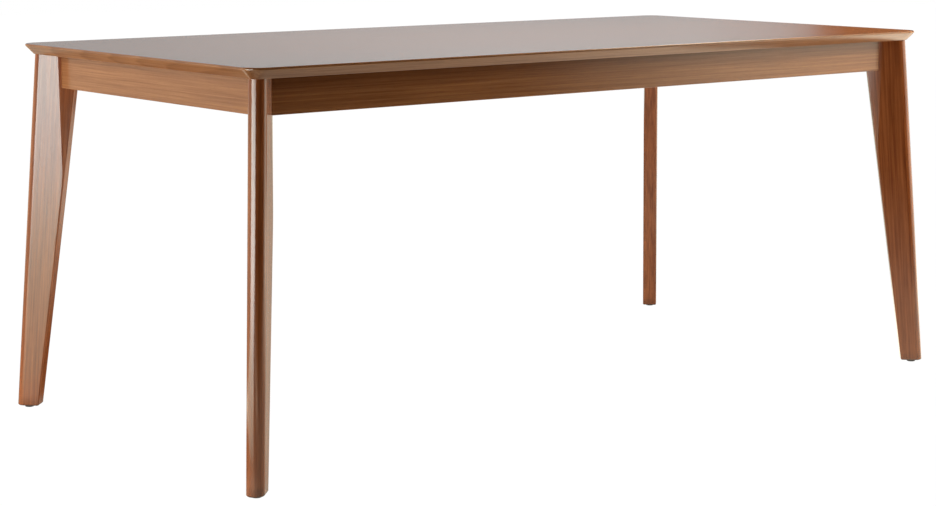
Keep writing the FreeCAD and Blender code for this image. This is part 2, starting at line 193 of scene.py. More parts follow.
def wood(name, turn, rings, bend, dark, light, ring_depth=0.30, streak_depth=1.6,
         streak_cells=(5.0, 330.0, 330.0), roughness=0.14, foot_painted_shade=False, contrast=1.0,
         relief_depth=0.00004, corner_painted_shade=0.0):
    """Growth rings are the fraction of (place . rings + bend * slow noise), so they darken slowly and end
    sharply. Streaks and pores are noise drawn out along the board. Without a turn, the piece's attribute is
    read."""
    material, start = new_finish(name)
    at = carried_coordinates(start) if turn is None else board_coordinates(start, turn)
    sway = noise(at, (0.9, 9.0, 9.0))
    phase = at.make("ShaderNodeVectorMath", {"operation": "DOT_PRODUCT"}, {0: at, 1: rings}, out="Value")
    growth = at.math("FRACT", phase + sway * bend)
    ring = (growth ** 1.6) * (1 - growth.between(0.86, 1.0))
    band = noise(at, (0.8, 38.0, 38.0))
    streak = noise(at, streak_cells, 3.0)
    fibre = noise(at, (16.0, 1500.0, 1500.0))
    pores = noise(at, (45.0, 2600.0, 2600.0), 1.0).between(0.60, 0.72)
    figure = ring_depth * (ring - 0.33) + 0.7 * (band - 0.5)
    figure = figure + streak_depth * (streak - 0.5) + 0.7 * (fibre - 0.5)
    colour = (0.5 - contrast * figure).blend((*dark, 1), (*light, 1))
    pore_and_shade_colour = tuple(0.55 * part for part in dark)
    colour = (pores * 0.5).blend(colour, (*pore_and_shade_colour, 1))
    # Painted shade: the legs darken over the last few millimetres above the floor, at the bottom of the
    # feet.
    if foot_painted_shade:
        above_foot = painted_shade_height(start).between(*FOOT_SHADE_HEIGHTS)
        colour = (0.85 * (1 - above_foot)).blend(colour, (*pore_and_shade_colour, 1))
    # Painted shade: the apron darkens in a ramp towards the underside of the top and in a dark line at the
    # joint.
    if corner_painted_shade:
        level = painted_shade_height(start)
        painted_shade_ramp = 0.5 * level.between(TOP_UNDERSIDE - 0.034, TOP_UNDERSIDE - 0.006)
        line = 0.5 * level.between(TOP_UNDERSIDE - 0.0055, TOP_UNDERSIDE - 0.003)
        colour = (corner_painted_shade * (painted_shade_ramp + line)).blend(colour, (*pore_and_shade_colour, 1))
    relief = 0.6 * fibre + 0.15 * streak - 0.5 * pores
    close_finish(start, {
        "Base Color": colour,
        "Roughness": roughness + 0.12 * pores + 0.08 * (streak - 0.5),
        "Normal": bump(relief, relief_depth),
        "IOR": 1.5,
    })
    return material


APRON_DARK = (0.228, 0.074, 0.020)
APRON_LIGHT = (0.440, 0.178, 0.058)
TOP_DARK = (0.225, 0.062, 0.014)
TOP_LIGHT = (0.430, 0.145, 0.040)
LEG_DARK = (0.190, 0.044, 0.010)
LEG_LIGHT = (0.410, 0.122, 0.034)
APRON_RINGS = (0.4, 30.0, 112.0)
LIPPING_RELIEF = 0.00002

# The aprons get painted shade in the corner below the top, stronger on the long ones.
apron_long_wood = wood("apron_long_wood", 0, APRON_RINGS, 1.6, APRON_DARK, APRON_LIGHT, corner_painted_shade=1.0)
apron_short_wood = wood("apron_short_wood", 90, APRON_RINGS, 1.6, APRON_DARK, APRON_LIGHT, corner_painted_shade=0.4)
lipping_long_wood = wood("lipping_long_wood", 0, (1.5, 55.0, 75.0), 1.2, APRON_DARK, APRON_LIGHT,
                         relief_depth=LIPPING_RELIEF)
lipping_short_wood = wood("lipping_short_wood", 90, (10.0, 30.0, -30.0), 6.5, APRON_DARK, APRON_LIGHT, 0.45,
                          relief_depth=LIPPING_RELIEF)
top_veneer_wood = wood("top_veneer_wood", 0, (0.5, 34.0, 0.0), 5.0, TOP_DARK, TOP_LIGHT, 0.25, 0.7,
                       contrast=0.9)
# The legs get painted shade at the bottom of the feet.
leg_wood = wood("leg_wood", None, (0.5, 105.0, 34.0), 1.8, LEG_DARK, LEG_LIGHT, 0.12, 1.7,
                (6.0, 250.0, 250.0), roughness=0.12, foot_painted_shade=True, contrast=1.3, relief_depth=0.000015)
print("wood finishes", [m.name for m in bpy.data.materials if m.name.endswith("_wood")])

# %% [markdown]
# ## Hidden wood, board, metal and plastic
# Nobody lacquers what a top covers. The backing veneer has the colour without the gloss, the corner blocks,
# the cross rail and its dowels are pale plain wood, and the core is board. The fasteners are zinc-plated
# steel with a cloudy finish, and the glides are dark plastic. Each finish varies a little over its surface,
# because an even one looks like paint.

# %% Finishes of the hidden pieces
def zinc_steel(name, tint, roughness):
    """Metal whose plating is cloudy at two scales."""
    material, start = new_finish(name)
    at = start.make("ShaderNodeTexCoord", {}, {}, out="Object")
    cloud = noise(at, (260.0, 260.0, 260.0), 3.0)
    speck = noise(at, (2400.0, 2400.0, 2400.0), 1.0)
    dull = tuple(0.72 * part for part in tint)
    close_finish(start, {
        "Base Color": cloud.between(0.3, 0.7).blend((*dull, 1), (*tint, 1)),
        "Metallic": 1.0,
        "Roughness": roughness + 0.25 * (cloud - 0.5) + 0.15 * (speck - 0.5),
        "Normal": bump(speck, 0.00002),
    })
    return material


def moulded_plastic(name, colour):
    """Dark plastic with a fine moulded texture and scuffs."""
    material, start = new_finish(name)
    at = start.make("ShaderNodeTexCoord", {}, {}, out="Object")
    skin = noise(at, (1800.0, 1800.0, 1800.0), 2.0)
    scuff = noise(at, (120.0, 900.0, 300.0), 3.0).between(0.55, 0.8)
    worn = tuple(2.2 * part for part in colour)
    close_finish(start, {
        "Base Color": scuff.blend((*colour, 1), (*worn, 1)),
        "Roughness": 0.45 + 0.25 * (skin - 0.5) + 0.15 * scuff,
        "Normal": bump(skin, 0.00004),
    })
    return material


def core_board(name):
    """Pressed board: pale chips of several sizes."""
    material, start = new_finish(name)
    at = start.make("ShaderNodeTexCoord", {}, {}, out="Object")
    chips = noise(at, (420.0, 420.0, 900.0), 3.0)
    close_finish(start, {
        "Base Color": chips.between(0.3, 0.7).blend((0.30, 0.19, 0.10, 1), (0.52, 0.37, 0.21, 1)),
        "Roughness": 0.8 + 0.1 * (chips - 0.5),
        "Normal": bump(chips, 0.0001),
    })
    return material


PALE_DARK = (0.36, 0.235, 0.125)
PALE_LIGHT = (0.62, 0.46, 0.28)
backing_wood = wood("backing_wood", 0, (0.5, 26.0, 0.0), 4.0, APRON_DARK, APRON_LIGHT, roughness=0.6)
rail_wood = wood("rail_wood", 90, (0.6, 40.0, 130.0), 1.6, PALE_DARK, PALE_LIGHT, roughness=0.62)
block_wood = {
    turn: wood(f"block_{turn}_wood", turn, (0.6, 60.0, 120.0), 1.6, PALE_DARK, PALE_LIGHT, roughness=0.62)
    for turn in (45, 135)
}
bolt_steel = zinc_steel("bolt_zinc_steel", (0.63, 0.61, 0.55), 0.38)
screw_steel = zinc_steel("screw_zinc_steel", (0.66, 0.58, 0.40), 0.36)
clip_steel = zinc_steel("clip_zinc_steel", (0.55, 0.55, 0.56), 0.42)
nail_steel = zinc_steel("nail_bright_steel", (0.50, 0.50, 0.51), 0.45)
glide_plastic = moulded_plastic("glide_plastic", (0.020, 0.013, 0.010))
core_chips = core_board("core_chipboard")
print(len(bpy.data.materials), "materials so far")

# %% [markdown]
# ## Boards that stay as packed
# The aprons, the blocks, the rail and the inner layers of the top are flat boards with holes and grooves.
# The CAD solids have those already, and light shows nothing more on a flat face, so a finish is all they
# need. The dowels and the glides' nails stay as well, because other pieces hide them.

# %% Finishes on the CAD boards that stay
def finish_node(node, material):
    """Puts one finish on every slot of a CAD node."""
    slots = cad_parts[node].material_slots
    for slot in slots:
        slot.material = material
    return len(slots)


stays = {
    "apron_front": apron_long_wood, "apron_back": apron_long_wood,
    "apron_left": apron_short_wood, "apron_right": apron_short_wood,
    "top_backing_veneer": backing_wood, "top_core": core_chips,
    "cross_rail": rail_wood, "cross_rail_dowels": rail_wood, "glide_nails": nail_steel,
    "corner_block_front_left": block_wood[135], "corner_block_back_right": block_wood[135],
    "corner_block_front_right": block_wood[45], "corner_block_back_left": block_wood[45],
}
print({node: finish_node(node, material) for node, material in stays.items()})

# %% [markdown]
# ## Surfaces from grids
# Every new piece is a tube: rows of points, each row a closed ring, with the end rings filled. The whole
# grid is worked out at once as an array. Several equal tubes, such as eight bolts, make one piece.

# %% Grid of points to a piece of the table
MM = 0.001


def tube_faces(copies, rows, columns):
    """Quads between neighbouring rings of each tube, and one face over each end ring."""
    ring = np.arange(columns)
    start = np.arange(rows - 1)[:, None] * columns
    here = start + ring
    beside = start + (ring + 1) % columns
    quads = np.stack([here, beside, beside + columns, here + columns], -1).reshape(-1, 4)
    ends = np.stack([ring[::-1], ring + (rows - 1) * columns])
    shifts = np.arange(copies) * rows * columns
    return [face for shift in shifts for part in (quads, ends) for face in (part + shift).tolist()]


def make_piece(name, tubes, material, nodes, crease=30.0):
    """A piece from tubes[copy, row, column] in millimetres. Edges that turn by more than the crease, in
    degrees, stay sharp."""
    tubes = np.asarray(tubes, float) * MM
    copies, rows, columns = tubes.shape[:3]
    mesh = bpy.data.meshes.new(name)
    mesh.from_pydata(tubes.reshape(-1, 3).tolist(), [], tube_faces(copies, rows, columns))
    work = bmesh.new()
    work.from_mesh(mesh)
    bmesh.ops.remove_doubles(work, verts=work.verts, dist=1e-7)
    bmesh.ops.recalc_face_normals(work, faces=work.faces)
    work.to_mesh(mesh)
    work.free()
    mesh.shade_smooth()
    mesh.set_sharp_from_angle(angle=math.radians(crease))
    mesh.materials.append(material)
    made = bpy.data.objects.new(name, mesh)
    bpy.context.scene.collection.objects.link(made)
    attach(made, "root")
    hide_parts(*nodes)
    print(name, copies, "tube(s),", len(mesh.polygons), "faces")
    return made


def lay_grain(made, along, across, through, origin):
    """Writes the grain attribute: the vertex seen from an origin, along three directions of the board."""
    mesh = made.data
    place = np.empty(3 * len(mesh.vertices))
    mesh.vertices.foreach_get("co", place)
    axes = np.array([along, across, through], float)
    local = (place.reshape(-1, 3) - np.asarray(origin, float)) @ axes.T
    grain = mesh.attributes.new("grain", "FLOAT_VECTOR", "POINT")
    grain.data.foreach_set("vector", local.ravel())


print("a tube of 2 rings with 4 points has", len(tube_faces(1, 2, 4)), "faces")

# %% [markdown]
# ## Legs
# A leg is a plank set on the diagonal. Its outer edge is a half-round nose that leans outwards on the way
# down, its inner edge tapers, and two long facets are planed off its upper part, where the aprons' ends
# lie on it. At each height the leg has a section with rounded corners, so the leg is a stack of sections.
# The small rounding of the facet's line is what catches a thread of light.

# %% Leg sections
UNDERSIDE = 742.5
GLIDE_HEIGHT = 5.0
LEG_NOSE = 43.5
LEG_SPLAY = math.radians(4.0)
LEG_DEPTH_TOP = 95.0
LEG_DEPTH_FOOT = 48.0
NOSE_RADIUS = 17.0
FACET_INSET = 8.9
FACET_SLOPE = math.tan(math.radians(8.75))
FACET_LEAN = math.tan(math.radians(1.3))
FACET_ROUNDING = 9.0
LEG_ARRIS = 3.0
FOOT_CHAMFER = 1.5
NOSE_STEPS = 25
APRON_X = 845.0
APRON_Y = 386.0
CORNERS = {"front_left": (-1, -1), "front_right": (1, -1), "back_left": (-1, 1), "back_right": (1, 1)}


def rounded(corner, before, after, radius, count):
    """Arc that replaces a corner. It touches both sides at radius / tan(half the corner's angle) from the
    corner, and between those two points it turns evenly about its centre. Arrays of corners give arrays of
    arcs."""
    first = before - corner
    first /= np.linalg.norm(first, axis=-1, keepdims=True)
    second = after - corner
    second /= np.linalg.norm(second, axis=-1, keepdims=True)
    half = np.arccos(np.clip((first * second).sum(-1, keepdims=True), -1, 1)) / 2
    half = np.minimum(half, math.pi / 2 - 1e-5)
    middle = first + second
    middle /= np.maximum(np.linalg.norm(middle, axis=-1, keepdims=True), 1e-9)
    centre = corner + middle * radius / np.sin(half)
    reach = radius / np.tan(half)
    share = np.linspace(0, 1, count)[:, None]
    turn = math.pi - 2 * half
    start = (corner + first * reach - centre)[:, None]
    end = (corner + second * reach - centre)[:, None]
    turn = turn[:, None]
    swing = np.sin((1 - share) * turn) * start + np.sin(share * turn) * end
    return centre[:, None] + swing / np.sin(turn)


def leg_sections(heights, insets):
    """Rings of (u, v) points, one ring for each height: u outwards along the diagonal, v across the plank.
    Nose: half an ellipse of the leaning cylinder. Facet: v = radius - slope * (u of its line - u)."""
    radius = NOSE_RADIUS - insets
    nose = LEG_NOSE + (UNDERSIDE - heights) * math.tan(LEG_SPLAY) - insets
    long_radius = radius / math.cos(LEG_SPLAY)
    foot_nose = LEG_NOSE + (UNDERSIDE - GLIDE_HEIGHT) * math.tan(LEG_SPLAY)
    inner_top = LEG_NOSE - LEG_DEPTH_TOP
    inner_foot = foot_nose - LEG_DEPTH_FOOT
    share = (heights - GLIDE_HEIGHT) / (UNDERSIDE - GLIDE_HEIGHT)
    inner = inner_foot + (inner_top - inner_foot) * share + insets
    facet = -FACET_INSET + FACET_LEAN * (heights - UNDERSIDE)
    edge = radius - FACET_SLOPE * np.maximum(facet - inner, 0)
    facet = np.maximum(facet, inner + 1.5 * LEG_ARRIS)

    turn = np.linspace(0, math.pi / 2, NOSE_STEPS)
    arc_u = (nose - long_radius)[:, None] + long_radius[:, None] * np.cos(turn)
    arc = np.stack([arc_u, radius[:, None] * np.sin(turn)], -1)
    shoulder = arc[:, -1]
    line = np.stack([facet, radius], -1)
    corner = np.stack([inner, edge], -1)
    middle = np.stack([inner, 0 * inner], -1)
    guards = shoulder[:, None] + np.array([[-1.0, 0.0]])
    bend = rounded(line, shoulder, corner, FACET_ROUNDING, 5)
    arris = rounded(corner, line, middle, LEG_ARRIS, 9)
    inside = arris[:, -1:] * [1, 1] - [0, 1.0]
    half = np.concatenate([arc, guards, bend[:, :1] + [1.0, 0.0], bend, arris, inside], 1)
    mirror = half[:, :0:-1] * [1, -1]
    return np.concatenate([half, mirror], 1)


def corner_place(name, local):
    """Local (u, v, z) points of a corner, carried to the table."""
    side_x, side_y = CORNERS[name]
    out = np.array([side_x, side_y, 0]) / math.sqrt(2)
    beside = np.array([-side_y, side_x, 0]) / math.sqrt(2)
    origin = np.array([side_x * APRON_X, side_y * APRON_Y, 0])
    return origin + local[..., :1] * out + local[..., 1:2] * beside + local[..., 2:] * np.array([0, 0, 1])


print("a leg's foot stands", round((UNDERSIDE - GLIDE_HEIGHT) * math.tan(LEG_SPLAY), 1), "mm further out")

# %% Four legs
LEG_ROWS = 48
LEG_CREASE = 12.0
SAWN_ALONG = 1.7
SAWN_ACROSS = 0.31
foot_rows = [GLIDE_HEIGHT, GLIDE_HEIGHT + FOOT_CHAMFER]
heights = np.concatenate([foot_rows, np.linspace(10, UNDERSIDE, LEG_ROWS)])
insets = np.where(heights > GLIDE_HEIGHT, 0.0, FOOT_CHAMFER)
sections = leg_sections(heights, insets)
levels = np.broadcast_to(heights[:, None, None], (*sections.shape[:2], 1))
leg_points = np.concatenate([sections, levels], -1)

for index, (corner_name, (side_x, side_y)) in enumerate(CORNERS.items()):
    points = [corner_place(corner_name, leg_points)]
    node = "leg_" + corner_name
    leg = make_piece("plank_" + node, points, leg_wood, [node], LEG_CREASE)
    out = np.array([side_x, side_y, 0]) / math.sqrt(2)
    up = np.array([0, 0, 1])
    along = math.cos(LEG_SPLAY) * up - math.sin(LEG_SPLAY) * out
    across = math.cos(LEG_SPLAY) * out + math.sin(LEG_SPLAY) * up
    # Each leg is sawn from another place in the tree, so no two figures agree.
    origin = np.array([side_x * APRON_X, side_y * APRON_Y, 0]) * MM
    origin = origin + along * (SAWN_ALONG * index) + across * (SAWN_ACROSS * index)
    lay_grain(leg, along, across, np.cross(along, across), origin)

# %% [markdown]
# ## Top
# The top is a board with a face veneer and four solid lippings, mitred at the corners. Its outline is a
# rectangle with round corners, its upper arris is rounded, and a wide bevel underneath makes the edge
# look thin. An inset outline has the same turns with smaller corners, so a profile of (inset, height)
# points can be carried round it.

# %% Outline and edge profile of the top
HALF_LENGTH = 900.0
HALF_WIDTH = 441.0
CORNER_RADIUS = 35.0
TABLE_HEIGHT = 764.0
EDGE_HEIGHT = 4.5
ARRIS_RADIUS = 3.0
BEVEL = 17.0
VENEER = 0.6
LIPPING_WIDTH = 40.0
EDGE_ROUNDING = 1.2


def inset_outline(turns, insets):
    """Points of the outline at each turn (rows) and inset (columns). A turn is the direction, in degrees,
    that the edge faces. Each point is the centre of its corner's arc plus what is left of the corner's
    radius."""
    angle = np.radians(turns)[:, None]
    quarter = np.floor(np.asarray(turns) / 90).astype(int) % 4
    side_x = np.array([1, -1, -1, 1])[quarter][:, None]
    side_y = np.array([1, 1, -1, -1])[quarter][:, None]
    reach = np.maximum(CORNER_RADIUS, insets)
    left = np.maximum(CORNER_RADIUS - insets, 0)
    x = side_x * (HALF_LENGTH - reach) + left * np.cos(angle)
    y = side_y * (HALF_WIDTH - reach) + left * np.sin(angle)
    return np.stack([x, y], -1)


def swept(turns, profile):
    """A profile of (inset, height) points carried along the outline. A row is the profile at one turn."""
    flat = inset_outline(turns, profile[:, 0])
    level = np.broadcast_to(profile[None, :, 1:], (len(turns), len(profile), 1))
    return np.concatenate([flat, level], -1)


def arris(first_turn, last_turn, count):
    """Arc of the upper arris. The turn goes from 0, facing up, to 90 degrees, facing out."""
    turn = np.radians(np.linspace(first_turn, last_turn, count))
    inset = ARRIS_RADIUS * (1 - np.sin(turn))
    level = TABLE_HEIGHT - ARRIS_RADIUS * (1 - np.cos(turn))
    return np.stack([inset, level], -1)


VENEER_TURN = math.degrees(math.acos(1 - VENEER / ARRIS_RADIUS))
EDGE_LOW = TABLE_HEIGHT - EDGE_HEIGHT
LIPPING_LOW = UNDERSIDE + VENEER
edge_corner = rounded(
    np.array([[0.0, EDGE_LOW]]), np.array([[0.0, TABLE_HEIGHT]]), np.array([[BEVEL, UNDERSIDE]]),
    EDGE_ROUNDING, 6,
)[0]
lipping_profile = np.concatenate([
    [[LIPPING_WIDTH, TABLE_HEIGHT - VENEER]],
    arris(VENEER_TURN, 90, 9),
    edge_corner,
    [[BEVEL - VENEER, LIPPING_LOW], [LIPPING_WIDTH, LIPPING_LOW]],
])
print("edge profile of", len(lipping_profile), "points")

# %% Four lippings and the face veneer
ARC_STEPS = 12
LIPPING_CREASE = 32.0
JUST_SHORT = 1e-6  # a turn that ends this much short of a right angle still belongs to its own corner
half_turn = np.linspace(45, 90, ARC_STEPS)
lipping_starts = {"back": 45, "left": 135, "front": 225, "right": 315}
for side, start in lipping_starts.items():
    first_half = start + half_turn - 45
    second_half = first_half + 45
    first_half[-1] -= JUST_SHORT
    finish = lipping_long_wood if side in ("front", "back") else lipping_short_wood
    edge = [swept(np.concatenate([first_half, second_half]), lipping_profile)]
    make_piece("edge_lipping_" + side, edge, finish, ["lipping_" + side], LIPPING_CREASE)

quarters = [np.linspace(90 * k, 90 * k + 90 - JUST_SHORT, 2 * ARC_STEPS) for k in range(4)]
veneer_profile = np.concatenate([
    [[LIPPING_WIDTH, TABLE_HEIGHT - VENEER]],
    arris(0, VENEER_TURN, 5)[::-1],
    [[ARRIS_RADIUS + 0.5, TABLE_HEIGHT], [LIPPING_WIDTH, TABLE_HEIGHT]],
])
face = swept(np.concatenate(quarters), veneer_profile).transpose(1, 0, 2)
make_piece("top_face", [face], top_veneer_wood, ["top_face_veneer"])

# %% [markdown]
# ## Floor glides
# A dark plastic button under each foot keeps the wood off the floor. It is turned: a profile of (radius,
# height) points spun about an upright line, slightly domed underneath, with a dimple where its nail was
# moulded in.

# %% Glides
SIDES = 48
FOOT_CENTRE = LEG_NOSE + (UNDERSIDE - GLIDE_HEIGHT) * math.tan(LEG_SPLAY) - LEG_DEPTH_FOOT / 2


def turned(profile, sides=SIDES):
    """A profile of (radius, height) points spun about z: x = radius cos turn, y = radius sin turn."""
    profile = np.asarray(profile, float)
    turn = np.linspace(0, 2 * math.pi, sides, endpoint=False)
    spin = np.stack([np.cos(turn), np.sin(turn)], -1)
    level = np.broadcast_to(profile[:, None, 1:], (len(profile), sides, 1))
    return np.concatenate([profile[:, None, :1] * spin, level], -1)


glide_profile = [
    (0, 0.6), (1.2, 0.55), (1.7, 0.12), (2.4, 0.0), (6.5, 0.0), (8.0, 0.1), (8.9, 0.4), (9.3, 0.85),
    (9.5, 1.4), (9.5, 4.9), (9.4, GLIDE_HEIGHT), (0, GLIDE_HEIGHT),
]
glide_points = turned(glide_profile) + [FOOT_CENTRE, 0, 0]
for corner_name in CORNERS:
    place = [corner_place(corner_name, glide_points)]
    make_piece("foot_glide_" + corner_name, place, glide_plastic, ["glide_" + corner_name])

# %% [markdown]
# ## Bolts, nuts and washers
# Two hanger bolts draw each leg into its corner. A thread is a radius that depends on both the turn and
# the distance along the bolt, so it is a surface of two parameters like any other. A nut is a hexagon
# whose corners are cut back by a cone, which is the smaller of two radii.

# %% Hanger bolts, washers and nuts
BOLT_RADIUS = 4.0
BOLT_LEVELS = (693.5, 721.5)
BLOCK_OUTER = -59.5
BLOCK_INNER = -89.5
WASHER_THICKNESS = 1.6
NUT_HEIGHT = 6.5
NUT_WIDTH = 13.0
BOLT_PROUD = 5.0
BOLT_IN_LEG = 48.0
SEAT = BLOCK_INNER - WASHER_THICKNESS
BOLT_TAIL = SEAT - NUT_HEIGHT - BOLT_PROUD
BOLT_LENGTH = LEG_NOSE - LEG_DEPTH_TOP + BOLT_IN_LEG - BOLT_TAIL
METAL_THREAD = 30.0
METAL_PITCH = 1.25
METAL_DEPTH = 0.7
WOOD_THREAD = 50.0
WOOD_PITCH = 3.2
WOOD_DEPTH = 1.1


def ridge(turn, along, pitch):
    """Height of a V thread, 0 to 1: the distance from the nearest crest, which moves on with the turn."""
    phase = along / pitch - turn / (2 * math.pi)
    return 1 - 2 * np.abs(phase - np.round(phase))


def threaded_bolt():
    """Hanger bolt along z: fine thread for the nut, plain neck, coarse thread and point for the leg."""
    fine = np.linspace(0, METAL_THREAD, 170)
    coarse = np.linspace(BOLT_LENGTH - WOOD_THREAD, BOLT_LENGTH, 120)
    along = np.concatenate([[0.0], fine, coarse, [BOLT_LENGTH]])[:, None]
    turn = np.linspace(0, 2 * math.pi, 24, endpoint=False)[None, :]
    fine_radius = BOLT_RADIUS - METAL_DEPTH + METAL_DEPTH * ridge(turn, along, METAL_PITCH)
    coarse_radius = BOLT_RADIUS - WOOD_DEPTH + WOOD_DEPTH * ridge(turn, along, WOOD_PITCH) ** 3
    radius = np.where(along <= METAL_THREAD, fine_radius, coarse_radius)
    radius = np.minimum(radius, 3.1 + along)
    radius = np.minimum(radius, 0.4 + (BOLT_LENGTH - along) * 0.6)
    radius[[0, -1]] = 0
    level = np.broadcast_to(along, radius.shape)
    return np.stack([radius * np.cos(turn), radius * np.sin(turn), level], -1)


def hexagon_nut():
    """Nut along z, a ring with a bore. Outer radius: the smaller of a hexagon's and of a cone's."""
    turn = np.linspace(0, 2 * math.pi, 72, endpoint=False)
    wedge = (turn + math.pi / 6) % (math.pi / 3) - math.pi / 6
    hexagon = NUT_WIDTH / 2 / np.cos(wedge)
    heights = np.array([0.0, 0.35, 0.75, NUT_HEIGHT - 0.75, NUT_HEIGHT - 0.35, NUT_HEIGHT])[:, None]
    cone = NUT_WIDTH / 2 - 0.15 + 1.75 * np.minimum(heights, NUT_HEIGHT - heights)
    outer = np.minimum(hexagon[None], cone)
    bore = np.full((4, len(turn)), BOLT_RADIUS)
    bore[[0, -1]] += 0.45
    radius = np.concatenate([outer, bore, outer[:1]])
    bore_levels = np.array([NUT_HEIGHT, NUT_HEIGHT - 0.5, 0.5, 0.0])[:, None]
    level = np.broadcast_to(np.concatenate([heights, bore_levels, heights[:1]]), radius.shape)
    return np.stack([radius * np.cos(turn), radius * np.sin(turn), level], -1)


def pointing(tube, places, directions):
    """Copies of a tube drawn along z, moved to each place with z turned along each direction."""
    along = np.asarray(directions, float)
    along = along / np.linalg.norm(along, axis=-1, keepdims=True)
    helper = np.where(np.abs(along[:, 2:]) > 0.5, [[1.0, 0, 0]], [[0, 0, 1.0]])
    side = np.cross(helper, along)
    side = side / np.linalg.norm(side, axis=-1, keepdims=True)
    axes = np.stack([side, np.cross(along, side), along], 1)
    return np.einsum("rck,nkj->nrcj", tube, axes) + np.asarray(places, float)[:, None, None]


def at_all_corners(local_points, local_directions):
    """Points and directions in a corner's frame, for all four corners."""
    points = np.concatenate([corner_place(name, np.asarray(local_points, float)) for name in CORNERS])
    tips = np.asarray(local_points, float) + np.asarray(local_directions, float)
    return points, np.concatenate([corner_place(name, tips) for name in CORNERS]) - points


washer = turned([
    (BOLT_RADIUS, 0), (9.7, 0), (10.0, 0.3), (10.0, 1.4), (9.8, WASHER_THICKNESS),
    (BOLT_RADIUS, WASHER_THICKNESS), (BOLT_RADIUS, 0),
])
for name, tube, inwards, node in (
    ("leg_hanger_bolts", threaded_bolt(), BOLT_TAIL, "hanger_bolts"),
    ("hexagon_nuts", hexagon_nut(), SEAT - NUT_HEIGHT, "hanger_nuts"),
    ("flat_washers", washer, SEAT, "hanger_washers"),
):
    places = at_all_corners([(inwards, 0, z) for z in BOLT_LEVELS], [(1, 0, 0)] * len(BOLT_LEVELS))
    make_piece(name, pointing(tube, *places), bolt_steel, [node])

# %% [markdown]
# ## Screws
# Countersunk screws hold the corner blocks, and pan-head screws hold the clips. Both have a cross recess.
# Seen from above a head is a height over the disc, so the recess is a depth taken off wherever a point
# lies inside the cross.

# %% Screws with a cross recess
FACE_RINGS = 22


def recessed(head, shank, depth, arm):
    """A turned screw along z, head first at z = 0. Inside the cross the head's face goes down by up to the
    depth: the share is how far a point is inside an arm, across it and towards its end."""
    face_radii = np.linspace(0, head[0][0], FACE_RINGS)
    rise = np.interp(face_radii, [r for r, _ in head[::-1]], [z for _, z in head[::-1]])
    profile = [*zip(face_radii, rise), *shank]
    tube = turned(profile)
    x = np.abs(tube[:FACE_RINGS, :, 0])
    y = np.abs(tube[:FACE_RINGS, :, 1])
    inside_arm = np.clip((0.18 * arm - np.minimum(x, y)) / (0.08 * arm), 0, 1)
    inside_end = np.clip((0.5 * arm - np.maximum(x, y)) / (0.25 * arm), 0, 1)
    tube[:FACE_RINGS, :, 2] += depth * inside_arm * inside_end
    return tube


def screw_thread(radius, start, end, pitch):
    """Outline of a wood screw's thread: crests and roots in turn, then a point."""
    count = int((end - start) / pitch)
    levels = start + np.repeat(np.arange(count), 3) * pitch + np.tile([0.0, 0.45, 0.55], count) * pitch
    radii = radius * np.tile([0.68, 0.68, 1.0], count)
    taper = np.clip((end - levels) / (3 * radius), 0.12, 1)
    return [*zip(radii * taper, levels), (0.0, end)]


APRON_THICKNESS = 20.0
BLOCK_SCREW_LENGTH = 28.0
BLOCK_SCREW_LEVEL = 707.5
BLOCK_SEAT = APRON_THICKNESS + 14.0
BLOCK_ALONG = -(BLOCK_OUTER + BLOCK_INNER) / math.sqrt(2) - APRON_THICKNESS
flat_head = [(4.5, 0.0), (0.0, 0.0)]
block_shank = [(4.5, 0.2), (2.25, 2.45), *screw_thread(2.25, 6.0, BLOCK_SCREW_LENGTH, 1.8)]
block_screw = recessed(flat_head, block_shank, 1.7, 5.0)
screw_points = []
screw_directions = []
for side in (1, -1):
    outwards = np.array([math.cos(math.pi / 4), side * math.sin(math.pi / 4), 0])
    from_corner = np.array([math.cos(3 * math.pi / 4), side * math.sin(3 * math.pi / 4), 0])
    level = np.array([0, 0, BLOCK_SCREW_LEVEL])
    screw_points.append(from_corner * BLOCK_ALONG - outwards * BLOCK_SEAT + level)
    screw_directions.append(outwards)
screws = pointing(block_screw, *at_all_corners(screw_points, screw_directions))
make_piece("block_screws", screws, screw_steel, ["corner_block_screws"])

# %% [markdown]
# ## Clips
# Ten bent steel clips hold the top down. Their tongues slide in a groove in the aprons, so that the top
# may move with the seasons. A clip is a thin rounded strip carried along a path with two bends.

# %% Clips and their screws
CLIP_STRAP = 1.5
CLIP_WIDTH = 20.0
CLIP_STANDOFF = 4.0
CLIP_TONGUE = 7.0
CLIP_FLANGE = 22.0
CLIP_BEND = 2.2
CLIP_BEND_STEPS = 7
GROOVE_DROP = 11.0
CLIP_SCREW_LENGTH = 17.0
BLOCK_END = -BLOCK_INNER * math.sqrt(2) - APRON_THICKNESS


def clip_path():
    """Middle line of the strap in (inwards, height): tongue, bend, web, bend, flange."""
    tongue = UNDERSIDE - GROOVE_DROP - CLIP_STRAP / 2
    web = APRON_THICKNESS + CLIP_STANDOFF + CLIP_STRAP / 2
    flange = UNDERSIDE - CLIP_STRAP / 2
    tip = np.array([[APRON_THICKNESS - CLIP_TONGUE, tongue]])
    low = np.array([[web, tongue]])
    high = np.array([[web, flange]])
    end = np.array([[APRON_THICKNESS + CLIP_STANDOFF + CLIP_FLANGE, flange]])
    low_bend = rounded(low, tip, high, CLIP_BEND, CLIP_BEND_STEPS)[0]
    high_bend = rounded(high, low, end, CLIP_BEND, CLIP_BEND_STEPS)[0]
    return np.concatenate([tip, low_bend, high_bend, end])


